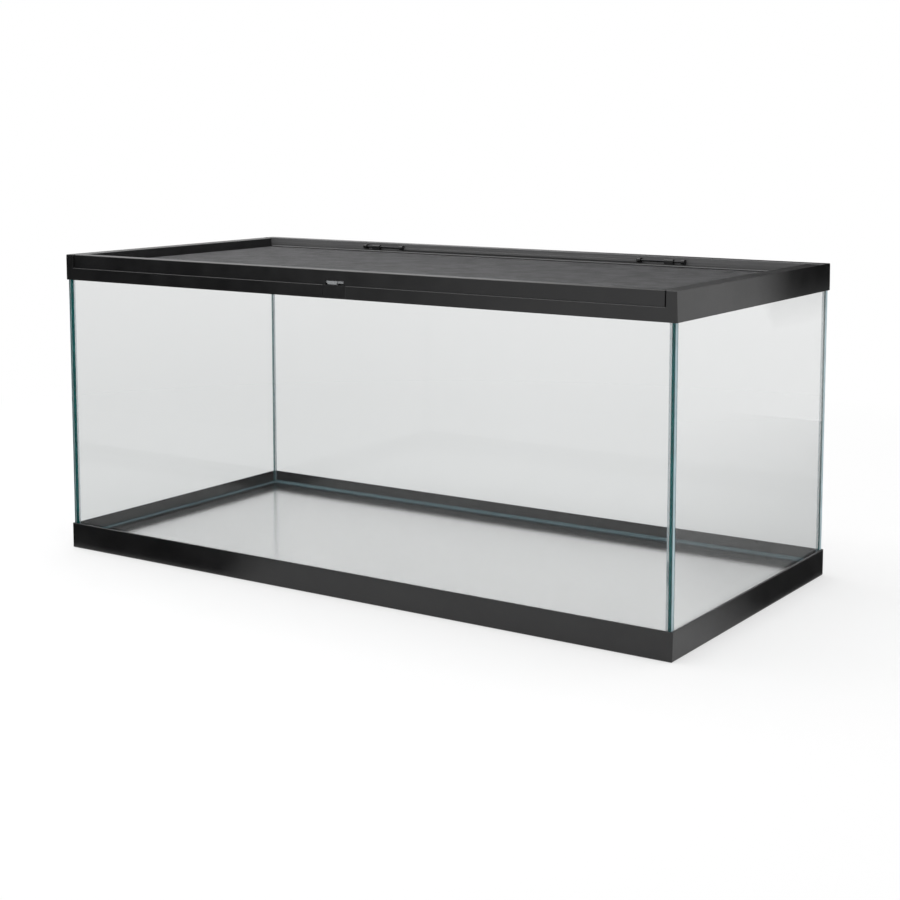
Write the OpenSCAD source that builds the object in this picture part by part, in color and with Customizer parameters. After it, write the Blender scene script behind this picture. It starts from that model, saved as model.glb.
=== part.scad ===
// Glass reptile terrarium with moulded trims and a hinged screen lid.
// +X runs along the length, -Y is the front and +Z is up. The origin is the middle of the base.

/* [Overall] */
// Length over the trims
tank_len = 914; // [600:1:1250]
// Depth over the trims, front to back
tank_dep = 436; // [300:1:620]
// Height from the base to the rim
tank_h = 404; // [300:1:620]

/* [Trims] */
// Wall of both moulded trims
trim_wall = 2.4; // [2:0.1:3.5]
// Lean of a trim's outer face over its height
trim_draft = 0.8; // [0.2:0.1:1.2]
// Radius of the upright outer corners
corner_r = 2.5; // [1:0.5:5]
// Radius along the trims' upper edges
edge_r = 0.8; // [0.4:0.1:1.2]
// Radius along the base trim's lower edge
foot_r = 1.5; // [0.6:0.1:1.6]
// Height of the base trim
base_h = 34; // [24:1:60]
// Height of the top trim
rim_h = 34; // [30:1:60]
// Height of the ledge that carries the panes
ledge_z = 11; // [6:0.5:18]
// Reach of the ledge under the floor pane
ledge_reach = 12; // [6:0.5:20]
// Depth of the leg that holds the panes from inside
leg_h = 12; // [6:0.5:12]
// Thickness of legs, webs and ledges
web_t = 2.4; // [1.6:0.1:3]
// Distance between the ribs under the rear deck
rib_pitch = 76; // [50:1:120]

/* [Glass] */
// Thickness of the upright panes
glass_t = 5; // [4:0.5:8]
// Thickness of the floor pane
floor_t = 6; // [4:0.5:10]
// Bevel on the panes' upright edges
arris = 0.5; // [0.2:0.1:1]
// Gap between a pane and the trim
glass_fit = 0.3; // [0.2:0.1:0.6]
// Bonded gap between two panes
bond_gap = 0.6; // [0.4:0.1:1]
// Leg of the silicone beads
bead_leg = 3.5; // [3:0.5:6]

/* [Lid] */
// Height of the lid's rails
lid_h = 17.5; // [16:0.5:20]
// Gap under the lid, over its seat
seat_gap = 0.3; // [0.2:0.1:0.5]
// Gap between the lid and the rim
lid_gap = 1.5; // [1:0.1:2.5]
// Width of the side rails
rail_w = 18; // [15:0.5:26]
// Width of the front rail, from the tank's front
front_rail_w = 18; // [17.5:0.5:26]
// Width of the low rear rail
rear_rail_w = 10; // [10:0.5:14]
// Wall of the lid frame
rail_t = 2; // [1.6:0.1:2.4]
// Length of the rim's front wall left standing at each end of the notch
post_w = 13.5; // [8:0.5:24]
// Gap at each end of the front rail, in the notch
notch_gap = 2; // [1:0.1:3]
// Drop from the rim to the top of the screen
screen_drop = 12.6; // [11:0.1:13]
// Thickness of the woven screen
screen_t = 0.6; // [0.4:0.1:1]
// Plain openings along the screen's stand-in
screen_cells = 6; // [4:1:8]
// Width of the bars between those openings
screen_bar = 25; // [16:1:30]
// Width of screen held under the rails
screen_tuck = 7; // [5:0.5:8]
// Distance between the stakes that hold the screen's clamps
stake_pitch = 105; // [60:1:160]
// Diameter of the stakes
stake_d = 3; // [2:0.1:3.4]
// Gap between a clamp and the lid frame
clamp_fit = 0.3; // [0.2:0.1:0.5]

/* [Hinges] */
// Distance between the middles of the two hinges
hinge_span = 456; // [240:1:460]
// Clear length of each hinge, between its two ears
hinge_len = 60; // [40:1:90]
// Length of each ear
ear_len = 5; // [3:0.5:8]
// Length of the lid's knuckle
knuckle_len = 13; // [8:0.5:16]
// Gap between the outer ear and the knuckle
knuckle_offset = 11; // [1:0.5:18]
// Diameter of the hinge pin
pin_d = 3; // [2:0.1:3.4]
// Clearance round the pin, on the radius
pin_fit = 0.05; // [0.02:0.01:0.1]
// Wall of the knuckle and the ears round the pin
knuckle_wall = 1.7; // [1.4:0.1:1.8]
// Drop from the rim to the hinge axis
hinge_drop = 6.2; // [6:0.1:6.6]
// Depth of the fixed deck along the rear
deck_dep = 16; // [15:0.5:24]

/* [Lock] */
// Width of the window in the front rail
window_w = 27.5; // [24:0.5:36]
// Height of the window
window_h = 5.5; // [5:0.1:7]
// Width of the thumb tab
tab_w = 14; // [10:0.5:15]
// Travel of the lock
lock_travel = 9.5; // [6:0.5:9.5]
// Thickness of the sliding plate
slide_t = 3; // [2:0.1:3.4]
// Gap round the sliding plate
slide_fit = 0.25; // [0.2:0.05:0.4]
// Length of the foot's stem
stem_len = 5; // [4:0.5:6]
// Width of the foot
foot_w = 3.4; // [2.5:0.1:3.6]
// Width of the keeper plate
keeper_w = 35; // [34:0.5:60]
// Thickness of the keeper plate
keeper_t = 1.2; // [0.8:0.1:1.4]
// Bare strip of trim below the keeper plate
keeper_rise = 1.2; // [0.6:0.1:4]
// Bevel on the edges of the notch and the keeper plate
lip_bevel = 0.6; // [0.3:0.1:0.7]
// Step from the rim's face back to the front rail's face
face_step = 0.7; // [0.5:0.1:0.9]

/* [Hidden] */

eps = 0.01;
half_len = tank_len / 2;
half_dep = tank_dep / 2;
rim_z = tank_h - rim_h;

// Panes: u is a distance inward from the outer face of the trims.
pane_u0 = trim_wall + glass_fit;
pane_u1 = pane_u0 + glass_t;
leg_u0 = pane_u1 + glass_fit;
leg_t = 1.8;
leg_u1 = leg_u0 + leg_t;
pane_x = half_len - pane_u0;
pane_y = half_dep - pane_u0;
inner_x = half_len - pane_u1;
inner_y = half_dep - pane_u1;
floor_x = inner_x - bond_gap;
floor_y = inner_y - bond_gap;
floor_z = ledge_z + floor_t;
ledge_u = pane_u1 + bond_gap + ledge_reach;

// Lid and its seat.
lid_z = tank_h - lid_h;
seat_z = lid_z - seat_gap;
glass_top = seat_z - web_t;
lid_u = trim_wall + lid_gap;
rail_u = lid_u + rail_w;
seat_u = rail_u - 4;
lid_x = half_len - lid_u;
lid_front = -(half_dep - lid_u);
open_x = half_len - rail_u;
open_front = -(half_dep - front_rail_w);
notch_x = half_len - post_w;
strip_x = notch_x - notch_gap;
strip_t = 2;
strip_u = trim_draft + strip_t;
screen_top = tank_h - screen_drop;
screen_z = screen_top - screen_t;

// Hinges.
barrel_r = pin_d / 2 + knuckle_wall;
wall_y = half_dep - deck_dep;
axis_y = wall_y - barrel_r - 1.3;
axis_z = tank_h - hinge_drop;
hinge_x = hinge_span / 2;
lid_back = axis_y + 1;
open_back = lid_back - rear_rail_w;
rear_seat_u = half_dep - lid_back + 4;
rear_rail_top = screen_top + rail_t;
side_end = open_back;

// Screen clamps and their stakes.
clamp_z = lid_z + 0.3;
clamp_lip = 2.5;
clamp_x0 = open_x - clamp_lip;
clamp_x1 = lid_x - rail_t - clamp_fit;
clamp_y0 = open_front + clamp_lip;
clamp_y1 = open_front - screen_tuck - 0.5;
clamp_y2 = open_back - clamp_lip;
clamp_y3 = lid_back - rail_t - clamp_fit;
clamp_end = lid_front + rail_t + clamp_fit;
stake_in = 3.5;
stake_x = open_x + stake_in + 2;
stake_front = open_front - stake_in;
stake_back = open_back + stake_in;
stake_fit = 0.15;
head_d = stake_d + 2;
head_h = 1.2;
boss_d = stake_d + 3;

// Lock. Positions are those of the unlocked rest.
tab_x0 = -window_w / 2 + 3;
guide_x = window_w / 2 + 0.25;
guide_len = 13;
guide_floor = 1.5;
slide_x0 = -(guide_x + guide_len - 0.5);
slide_x1 = guide_x + guide_len - 0.5 - lock_travel;
slide_z = lid_z + guide_floor + slide_fit;
slide_y0 = -(half_dep - strip_u - slide_fit);
foot_y1 = -(half_dep - leg_u1 - 4.2);
foot_y0 = foot_y1 - foot_w;
slide_y1 = foot_y1 + 0.5;
guide_y = slide_y1 + slide_fit;
stem_x = tab_x0 + 3.7;
hook_len = 5;
hook_gap = 0.6;
hook_h = 2.6;
slot_fit = 0.5;
slot_x0 = stem_x - slot_fit;
slot_x1 = stem_x + stem_len + lock_travel + slot_fit;
keeper_fit = 0.15;

// Lean of the outer face at height z of the top trim, and of the base trim.
function rim_lean(z) = trim_draft * (z - rim_z) / rim_h;
function base_lean(z) = trim_draft / 2 * (base_h - z) / base_h;

// Points of an arc from angle a0 to angle a1.
function arc(cx, cy, r, a0, a1, n = 6) = [for (i = [0 : n]) let (a = a0 + (a1 - a0) * i / n) [cx + r * cos(a), cy + r * sin(a)]];

// Whole number of steps of about the given pitch that fill a length.
function steps(len, pitch) = max(1, round(len / pitch));

// Depth of the keeper plate in the trim's outer wall.
keeper_u = rim_lean(seat_z) + keeper_t;

// A profile of points [u, z], carried along X, with u pointing to +Y.
module run(points, len) {
    rotate([90, 0, 90]) linear_extrude(len, center = true) polygon(points);
}

// Places its child on the front, right and rear side of the tank.
module on_front() { translate([0, -half_dep, 0]) children(); }
module on_rear() { rotate(180) on_front() children(); }
module on_right() { rotate(90) translate([0, -half_len, 0]) children(); }

// Upright block with round corners, the size of the tank's footprint.
module footprint_block() {
    r = corner_r;
    linear_extrude(tank_h) {
        square([tank_len - 2 * r, tank_dep], center = true);
        square([tank_len, tank_dep - 2 * r], center = true);
        for (sx = [-1, 1], sy = [-1, 1])
            translate([sx * (half_len - r), sy * (half_dep - r)]) circle(r = r, $fn = 48);
    }
}

// Solid block whose four outer faces follow the same points [u, z], from top to bottom.
function outline(half, side) = concat([for (p = side) [half - p[0], p[1]]],
    [for (i = [len(side) - 1 : -1 : 0]) [side[i][0] - half, side[i][1]]]);
module faced_block(side) {
    intersection() {
        rotate([90, 0, 90]) linear_extrude(tank_len, center = true) polygon(outline(half_dep, side));
        rotate([90, 0, 0]) linear_extrude(tank_dep, center = true) polygon(outline(half_len, side));
        footprint_block();
    }
}

// Block inside the trims, at distance u from all four outer faces, from z0 to z1.
module inset(u, z0, z1) {
    translate([u - half_len, u - half_dep, z0]) cube([tank_len - 2 * u, tank_dep - 2 * u, z1 - z0]);
}

// Moulded ring that carries the panes: outer wall, ledge and inner leg.
module base_trim() {
    low = base_lean(0);
    web_z = ledge_z - web_t;
    side = concat(arc(edge_r, base_h - edge_r, edge_r, 90, 180), arc(low + foot_r, foot_r, foot_r, 180, 270));
    color("#1c1c1d") difference() {
        faced_block(side);
        inset(trim_wall, ledge_z, base_h + 1);
        inset(ledge_u, -1, base_h);
        difference() {
            inset(trim_wall, -1, web_z);
            inset(ledge_u - leg_t, -2, web_z + 1);
        }
    }
}

// Outer wall, seat and leg of the top trim, all round.
module rim_ring() {
    top = rim_lean(tank_h);
    leg_z = seat_z - leg_h;
    difference() {
        faced_block(concat(arc(top + edge_r, tank_h - edge_r, edge_r, 90, 180), [[0, rim_z]]));
        inset(trim_wall, seat_z, tank_h + 1);
        // Channel for the panes, with the leg left standing in it.
        difference() {
            inset(trim_wall, rim_z - 1, glass_top);
            difference() {
                inset(leg_u0, leg_z, glass_top + 1);
                inset(leg_u1, leg_z - 1, glass_top + 2);
            }
        }
        // Mouth of the tank, inside the seat.
        translate([seat_u - half_len, seat_u - half_dep, rim_z - 1])
            cube([tank_len - 2 * seat_u, tank_dep - seat_u - rear_seat_u, rim_h + 2]);
        // Room below the deck, on both sides of the leg.
        for (u = [[trim_wall, leg_u0], [leg_u1, deck_dep - rail_t]])
            translate([seat_u - half_len, half_dep - u[1], glass_top - 1])
                cube([tank_len - 2 * seat_u, u[1] - u[0], seat_z - glass_top + 2]);
    }
}

// Fixed deck along the rear, with the wall that the hinges stand on and the lid's rear seat.
module rear_deck() {
    deck_t = 2.2;
    wall_u = deck_dep - rail_t;
    len = tank_len - 2 * trim_wall + 2 * eps;
    profile = concat([[trim_wall - eps, tank_h - deck_t], [trim_wall - eps, tank_h]],
        arc(deck_dep - edge_r, tank_h - edge_r, edge_r, 90, 0),
        [[deck_dep, seat_z], [rear_seat_u, seat_z], [rear_seat_u, glass_top], [wall_u, glass_top],
         [wall_u, tank_h - deck_t], [leg_u1, tank_h - deck_t], [leg_u1, seat_z - 1],
         [leg_u0, seat_z - 1], [leg_u0, tank_h - deck_t]]);
    on_rear() run(profile, len);
    // Ribs that tie the walls together and stop the rear pane.
    rib_t = 1.6;
    count = steps(len, rib_pitch);
    for (i = [0 : count]) {
        x = -len / 2 + (len - rib_t) * i / count;
        translate([x, half_dep - wall_u - eps, glass_top])
            cube([rib_t, wall_u - trim_wall + 2 * eps, tank_h - deck_t - glass_top + eps]);
    }
}

// Barrel round the hinge axis from x0 to x1.
module barrel(x0, x1, r = barrel_r) {
    translate([x0, axis_y, axis_z]) rotate([0, 90, 0]) cylinder(r = r, h = x1 - x0, $fn = 48);
}

// One ear of a hinge, from x0 to x1, standing on the rear wall.
module hinge_ear(x0, x1) {
    barrel(x0, x1);
    translate([x0, axis_y, axis_z - barrel_r])
        cube([x1 - x0, wall_y - axis_y + 1, 2 * barrel_r]);
}

// Ends of one hinge along X, from its inner ear to its outer ear, for the right-hand hinge.
ear_in = hinge_x - hinge_len / 2;
ear_out = hinge_x + hinge_len / 2;
pin_end = ear_out + ear_len - 1.5;
knuckle_x1 = ear_out - knuckle_offset;
knuckle_x0 = knuckle_x1 - knuckle_len;

module frame_hinge() {
    difference() {
        union() {
            hinge_ear(ear_in - ear_len, ear_in);
            hinge_ear(ear_out, ear_out + ear_len);
        }
        barrel(ear_in - ear_len - 1, pin_end, pin_d / 2 + pin_fit);
    }
}

// Moulded rim with the notch, the lid's seat, the rear deck and the hinge ears.
module top_trim() {
    bar_t = 1.6;
    bar_h = 3;
    keeper_half = keeper_w / 2 + keeper_fit;
    color("#1c1c1d") {
        difference() {
            intersection() {
                union() {
                    rim_ring();
                    rear_deck();
                    translate([-(ear_in - ear_len), wall_y - bar_t, axis_z - bar_h])
                        cube([2 * (ear_in - ear_len), bar_t + eps, bar_h]);
                }
                footprint_block();
            }
            // The long notch that the lid's front rail drops into.
            translate([-notch_x, -half_dep - 1, seat_z])
                cube([2 * notch_x, trim_wall + 1 + eps, tank_h]);
            lip = rim_lean(seat_z);
            on_front() run([[lip + lip_bevel + 1, seat_z + 1], [lip - 1, seat_z - lip_bevel - 1],
                [lip - 1, seat_z + 1]], 2 * notch_x);
            // Recess for the keeper plate, on the face and over the seat.
            translate([-keeper_half, -half_dep - 1, rim_z + keeper_rise - keeper_fit])
                cube([2 * keeper_half, 1 + keeper_u, tank_h]);
            translate([-keeper_half, -half_dep - 1, seat_z - keeper_t])
                cube([2 * keeper_half, seat_u + 2, tank_h]);
            lock_slot();
        }
        frame_hinge();
        mirror([1, 0, 0]) frame_hinge();
    }
}

// Slot that the lock's foot passes through.
module lock_slot() {
    translate([slot_x0, foot_y0 - slot_fit, glass_top - 1])
        cube([slot_x1 - slot_x0, foot_w + 2 * slot_fit, web_t + 2]);
}

// Plate let into the middle of the rim: its face shows, and its top holds the lock's foot.
module latch_keeper() {
    profile = [[rim_lean(rim_z + keeper_rise), rim_z + keeper_rise], [rim_lean(seat_z), seat_z],
        [seat_u, seat_z], [seat_u, seat_z - keeper_t], [keeper_u, seat_z - keeper_t],
        [keeper_u, rim_z + keeper_rise]];
    color("#2a2a2b") difference() {
        intersection() {
            on_front() run(profile, keeper_w);
            translate([-keeper_w / 2, -half_dep, rim_z]) linear_extrude(rim_h) bevelled(keeper_w, seat_u + 5, lip_bevel);
        }
        lock_slot();
    }
}

// Rectangle from the origin, with its corners bevelled by c.
module bevelled(dx, dy, c) {
    polygon([[c, 0], [dx - c, 0], [dx, c], [dx, dy - c], [dx - c, dy], [c, dy], [0, dy - c], [0, c]]);
}

// Upright pane standing on the ledge, from its low corner to its size in plan.
module pane(x0, y0, dx, dy) {
    color("#cfe6e3", 0.35) translate([x0, y0, ledge_z]) linear_extrude(glass_top - ledge_z) bevelled(dx, dy, arris);
}
module front_glass() { pane(-pane_x, -pane_y, 2 * pane_x, glass_t); }
module rear_glass() { pane(-pane_x, inner_y, 2 * pane_x, glass_t); }
module left_glass() { pane(-pane_x, -floor_y, glass_t, 2 * floor_y); }
module right_glass() { pane(inner_x, -floor_y, glass_t, 2 * floor_y); }

module floor_glass() {
    color("#cfe6e3", 0.35) translate([-floor_x, -floor_y, ledge_z]) cube([2 * floor_x, 2 * floor_y, floor_t]);
}

// Section of an upright bead: the fillet and the strip between the two panes.
module corner_section() {
    fillet_points = concat([[0, 0], [bead_leg, 0]],
        [for (i = [0 : 8]) let (a = 270 - 90 * i / 8, r = bead_leg - 0.4)
            [bead_leg + r * cos(a), bead_leg + r * sin(a)]], [[0, bead_leg]]);
    polygon(fillet_points);
}

// Upright bead in the corner of the front and the left pane.
module corner_seam() {
    color("#dfe7e8", 0.6) {
        translate([-inner_x, -inner_y, floor_z + bead_leg])
            linear_extrude(seat_z - leg_h - 0.5 - floor_z - bead_leg) corner_section();
        translate([-pane_x, -inner_y, ledge_z]) cube([glass_t, bond_gap, glass_top - ledge_z]);
    }
}
module seam_front_left() { corner_seam(); }
module seam_front_right() { mirror([1, 0, 0]) corner_seam(); }
module seam_rear_left() { mirror([0, 1, 0]) corner_seam(); }
module seam_rear_right() { mirror([1, 0, 0]) mirror([0, 1, 0]) corner_seam(); }

// Bead along the floor: the fillet over the floor pane and the strip between it and the wall.
// Its profile is [distance inward from the pane, height].
function floor_bead() = concat([[0, ledge_z], [0, floor_z + bead_leg]],
    [for (i = [0 : 8]) let (a = 180 + 90 * i / 8, r = bead_leg - 0.4)
        [bead_leg + r * cos(a), floor_z + bead_leg + r * sin(a)]],
    [[bead_leg, floor_z], [bond_gap, floor_z], [bond_gap, ledge_z]]);

module floor_seam_x(len) {
    color("#dfe7e8", 0.6) translate([0, -inner_y, 0]) run(floor_bead(), len);
}
module floor_seam_y(len) {
    color("#dfe7e8", 0.6) rotate(-90) translate([0, -inner_x, 0]) run(floor_bead(), len);
}
module seam_floor_front() { floor_seam_x(2 * inner_x); }
module seam_floor_rear() { rotate(180) floor_seam_x(2 * inner_x); }
module seam_floor_left() { floor_seam_y(2 * (inner_y - bead_leg)); }
module seam_floor_right() { rotate(180) floor_seam_y(2 * (inner_y - bead_leg)); }

// Dark steel pin of the right-hand hinge.
module hinge_pin() {
    color("#2c2c2d") barrel(ear_in - ear_len, pin_end - 0.3, pin_d / 2);
}
module hinge_pin_right() { hinge_pin(); }
module hinge_pin_left() { mirror([1, 0, 0]) hinge_pin(); }

// Positions along a rail of the stakes that hold the clamps.
function spread(from, to, pitch) = let (n = steps(to - from, pitch)) [for (i = [0 : n]) from + (to - from) * i / n];
front_stakes = [for (s = [-1, 1], x = spread(stake_pitch / 2, open_x - 10, stake_pitch)) s * x];
side_stakes = spread(open_front + 12, open_back - 12, stake_pitch);

// Stake with its spread head, hanging from height z.
module stake(x, y, z, boss) {
    translate([x, y, clamp_z + 0.1]) cylinder(d = head_d, h = head_h, $fn = 32);
    translate([x, y, clamp_z + 0.1]) cylinder(d = stake_d, h = screen_top - clamp_z, $fn = 32);
    if (boss) translate([x, y, screen_top]) cylinder(d = boss_d, h = z - screen_top, $fn = 32);
}

// Top of a rail between two outer faces, with both edges rounded.
function rail_top(u0, u1) = concat(arc(u0 + edge_r, tank_h - edge_r, edge_r, 180, 90),
    arc(u1 - edge_r, tank_h - edge_r, edge_r, 90, 0));

// Side rail of the lid on the right: an upside-down channel with its ends closed.
module side_rail() {
    len = side_end - lid_front;
    profile = concat([[lid_u, lid_z]], rail_top(lid_u, rail_u),
        [[rail_u, screen_top], [rail_u - rail_t, screen_top], [rail_u - rail_t, tank_h - rail_t],
         [lid_u + rail_t, tank_h - rail_t], [lid_u + rail_t, lid_z]]);
    mid = (side_end + lid_front) / 2;
    on_right() translate([mid, 0, 0]) run(profile, len);
    for (end = [[lid_front, lid_z], [side_end - rail_t, screen_top]])
        translate([open_x, end[0], end[1]]) cube([rail_w, rail_t, tank_h - end[1] - eps]);
    for (y = side_stakes)
        stake(stake_x, y, tank_h - rail_t + eps, true);
}

// Front rail: its face lies in the notch, a small step behind the rim's face.
module front_rail() {
    w = front_rail_w;
    profile = concat([[rim_lean(lid_z) + face_step, lid_z]], rail_top(trim_draft + face_step, w),
        [[w, screen_top], [w - rail_t, screen_top], [w - rail_t, tank_h - rail_t], [strip_u, tank_h - rail_t],
         [strip_u, lid_z]]);
    on_front() run(profile, 2 * strip_x);
    for (s = [-1, 1])
        translate([s * (strip_x - rail_t / 2) - rail_t / 2, lid_front - 1.5, lid_z])
            cube([rail_t, 1.5 + rail_t, lid_h - eps]);
    for (x = front_stakes)
        stake(x, stake_front, tank_h - rail_t + eps, true);
}

// Guides of the lock inside the front rail: floor, rear wall, end stops and two ribs above.
module lock_guide() {
    y0 = -(half_dep - strip_u) - eps;
    len = guide_x + guide_len;
    for (s = [-1, 1]) {
        translate([s > 0 ? guide_x : -len, y0, lid_z]) cube([guide_len, guide_y - y0 + eps, guide_floor]);
        translate([s * (len + 0.75) - 0.75, y0, lid_z]) cube([1.5, guide_y + 1.5 - y0, lid_h - eps]);
    }
    translate([-len, guide_y, lid_z]) cube([2 * len, 1.5, lid_h - eps]);
    top_z = slide_z + slide_t + slide_fit;
    for (y = [slide_y0 + 2.5, guide_y - 3])
        translate([-len, y, top_z]) cube([2 * len, 1.5, tank_h - top_z - eps]);
}

// Small feet under the front and side rails, on which the lid rests.
module rest_feet() {
    foot_len = 8;
    for (s = [-1, 1]) {
        translate([s * strip_x * 0.75 - foot_len / 2, -half_dep + trim_draft + face_step + 0.2, seat_z])
            cube([foot_len, strip_t - face_step - 0.2, seat_gap + eps]);
        translate([s * (lid_x - rail_t / 2) - 0.8, open_front + 30, seat_z])
            cube([1.6, foot_len, seat_gap + eps]);
    }
}

// Low rear rail with the two knuckles.
module rear_rail() {
    lip = 0.6 * rail_t;
    profile = [[0, lid_z], [0, rear_rail_top], [rear_rail_w - lip, rear_rail_top],
        [rear_rail_w, rear_rail_top - lip], [rear_rail_w, screen_top], [rail_t, screen_top], [rail_t, lid_z]];
    translate([0, lid_back, 0]) rotate(180) run(profile, 2 * lid_x);
    for (s = [-1, 1]) {
        translate([s * (lid_x - rail_t / 2) - rail_t / 2, side_end - eps, lid_z])
            cube([rail_t, rear_rail_w, rear_rail_top - lid_z]);
        translate([s * (lid_x - rail_w / 2) - rail_w / 2, side_end - eps, screen_top])
            cube([rail_w, rear_rail_w, rail_t]);
    }
    for (x = front_stakes)
        stake(x, stake_back, 0, false);
}

module knuckle() {
    barrel(knuckle_x0, knuckle_x1);
    translate([knuckle_x0, axis_y - barrel_r, rear_rail_top - 0.5])
        cube([knuckle_len, barrel_r + 1, axis_z - rear_rail_top + 0.5]);
}

// Moulded frame of the lid, in one piece.
module lid_frame() {
    color("#1e1e1f") difference() {
        union() {
            side_rail();
            mirror([1, 0, 0]) side_rail();
            front_rail();
            rear_rail();
            lock_guide();
            rest_feet();
            knuckle();
            mirror([1, 0, 0]) knuckle();
        }
        // Window for the thumb tab, open at the rail's lower edge.
        translate([-window_w / 2, -half_dep - 1, lid_z - 1])
            cube([window_w, strip_u + 1 + eps, window_h + 1]);
        for (s = [-1, 1])
            barrel(s > 0 ? knuckle_x0 - 1 : -knuckle_x1 - 1, s > 0 ? knuckle_x1 + 1 : -knuckle_x0 + 1, pin_d / 2 + pin_fit);
    }
}

// Holes for the stakes, through a solid from z0 to z1.
module stake_holes(z0, z1) {
    for (x = front_stakes, y = [stake_front, stake_back])
        translate([x, y, z0]) cylinder(d = stake_d + 2 * stake_fit, h = z1 - z0, $fn = 32);
    for (s = [-1, 1], y = side_stakes)
        translate([s * stake_x, y, z0]) cylinder(d = stake_d + 2 * stake_fit, h = z1 - z0, $fn = 32);
}
module head_holes() {
    h = head_h + 0.3;
    for (x = front_stakes, y = [stake_front, stake_back])
        translate([x, y, clamp_z - eps]) cylinder(d = head_d + 2 * stake_fit, h = h, $fn = 32);
    for (s = [-1, 1], y = side_stakes)
        translate([s * stake_x, y, clamp_z - eps]) cylinder(d = head_d + 2 * stake_fit, h = h, $fn = 32);
}

// Space that the screen and its front clamp leave for the lock's guides.
module lock_pocket(z0, z1) {
    x = guide_x + guide_len + 1.5 + clamp_fit;
    translate([-x, -half_dep, z0]) cube([2 * x, guide_y + 1.5 + clamp_fit + half_dep, z1 - z0]);
}

// Plain openings that stand for the screen's mesh, between the rails.
module screen_openings() {
    nx = screen_cells;
    ny = steps(open_back - open_front, 2 * open_x / nx);
    dx = 2 * open_x / nx;
    dy = (open_back - open_front) / ny;
    for (i = [0 : nx - 1], j = [0 : ny - 1])
        translate([-open_x + i * dx + screen_bar / 2, open_front + j * dy + screen_bar / 2, screen_z - 1])
            cube([dx - screen_bar, dy - screen_bar, screen_t + 2]);
}

// Fine woven screen, as one thin sheet with plain openings.
module lid_screen() {
    x = open_x + stake_in + 2 + stake_d;
    y0 = open_front - screen_tuck;
    y1 = clamp_y3;
    color("#5a5c5e") difference() {
        translate([-x, y0, screen_z]) cube([2 * x, y1 - y0, screen_t]);
        stake_holes(screen_z - 1, screen_top + 1);
        lock_pocket(screen_z - 1, screen_top + 1);
        screen_openings();
    }
}

// Clamp strip from [x0, y0] to [x1, y1], pressed up against the screen.
module clamp(x0, y0, x1, y1) {
    color("#262627") difference() {
        translate([x0, y0, clamp_z]) cube([x1 - x0, y1 - y0, screen_z - clamp_z]);
        stake_holes(clamp_z - 1, screen_z + 1);
        head_holes();
        lock_pocket(clamp_z - 1, screen_z + 1);
    }
}
clamp_half = clamp_x0 - clamp_fit;
module screen_clamp_front() { clamp(-clamp_half, clamp_y1, clamp_half, clamp_y0); }
module screen_clamp_rear() { clamp(-clamp_half, clamp_y2, clamp_half, clamp_y3); }
module screen_clamp_right() { clamp(clamp_x0, clamp_end, clamp_x1, clamp_y3); }
module screen_clamp_left() { clamp(-clamp_x1, clamp_end, -clamp_x0, clamp_y3); }

// Light grey lock: a plate that slides behind the front rail, with a thumb tab and a hooked foot.
module lock_slider() {
    tab_y = -(half_dep - rim_lean(lid_z)) + face_step + 0.5;
    tab_z = lid_z + 0.3;
    grip_r = 0.5;
    foot_z = glass_top - hook_gap - hook_h;
    color("#9a9c9e") {
        translate([slide_x0, slide_y0, slide_z]) cube([slide_x1 - slide_x0, slide_y1 - slide_y0, slide_t]);
        translate([tab_x0, tab_y, tab_z]) cube([tab_w, slide_y0 - tab_y + 1, slide_z + slide_t - tab_z]);
        for (x = [tab_x0 + 2 : 2 : tab_x0 + tab_w - 2])
            translate([x, tab_y, tab_z]) cylinder(r = grip_r, h = slide_z + slide_t - tab_z, $fn = 24);
        translate([stem_x, foot_y0, foot_z]) cube([stem_len, foot_w, slide_z - foot_z + eps]);
        translate([stem_x, foot_y0, foot_z]) cube([stem_len + hook_len, foot_w, hook_h]);
    }
}

base_trim();
top_trim();
front_glass();
rear_glass();
left_glass();
right_glass();
floor_glass();
seam_front_left();
seam_front_right();
seam_rear_left();
seam_rear_right();
seam_floor_front();
seam_floor_rear();
seam_floor_left();
seam_floor_right();
latch_keeper();
hinge_pin_left();
hinge_pin_right();
lid_frame();
lid_screen();
screen_clamp_front();
screen_clamp_rear();
screen_clamp_left();
screen_clamp_right();
lock_slider();
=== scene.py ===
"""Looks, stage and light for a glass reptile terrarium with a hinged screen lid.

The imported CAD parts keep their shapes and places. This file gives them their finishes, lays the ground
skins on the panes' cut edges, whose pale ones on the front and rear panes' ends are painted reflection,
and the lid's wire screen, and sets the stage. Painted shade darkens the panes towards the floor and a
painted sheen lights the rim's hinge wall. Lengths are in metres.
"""

import math

import bpy
import numpy as np
from bpy.props import FloatProperty, FloatVectorProperty, PointerProperty
from bpy.types import Operator, Panel, PropertyGroup
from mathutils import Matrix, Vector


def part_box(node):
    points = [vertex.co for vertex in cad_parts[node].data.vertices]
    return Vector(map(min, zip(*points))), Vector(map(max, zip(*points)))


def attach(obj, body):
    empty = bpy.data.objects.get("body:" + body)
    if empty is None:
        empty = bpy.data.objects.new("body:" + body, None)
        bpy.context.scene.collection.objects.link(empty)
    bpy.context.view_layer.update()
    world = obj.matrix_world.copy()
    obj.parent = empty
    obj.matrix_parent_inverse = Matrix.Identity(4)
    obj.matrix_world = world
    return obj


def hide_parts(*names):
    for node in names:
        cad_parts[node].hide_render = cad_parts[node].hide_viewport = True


bl_info = {
    "name": "Reptile Terrarium Finishes",
    "version": (1, 0, 0),
    "blender": (4, 5, 0),
    "location": "3D View > Sidebar > Terrarium",
    "description": "Finishes, wire screen and stage for a glass terrarium with a hinged lid",
    "category": "Object",
}

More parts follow.
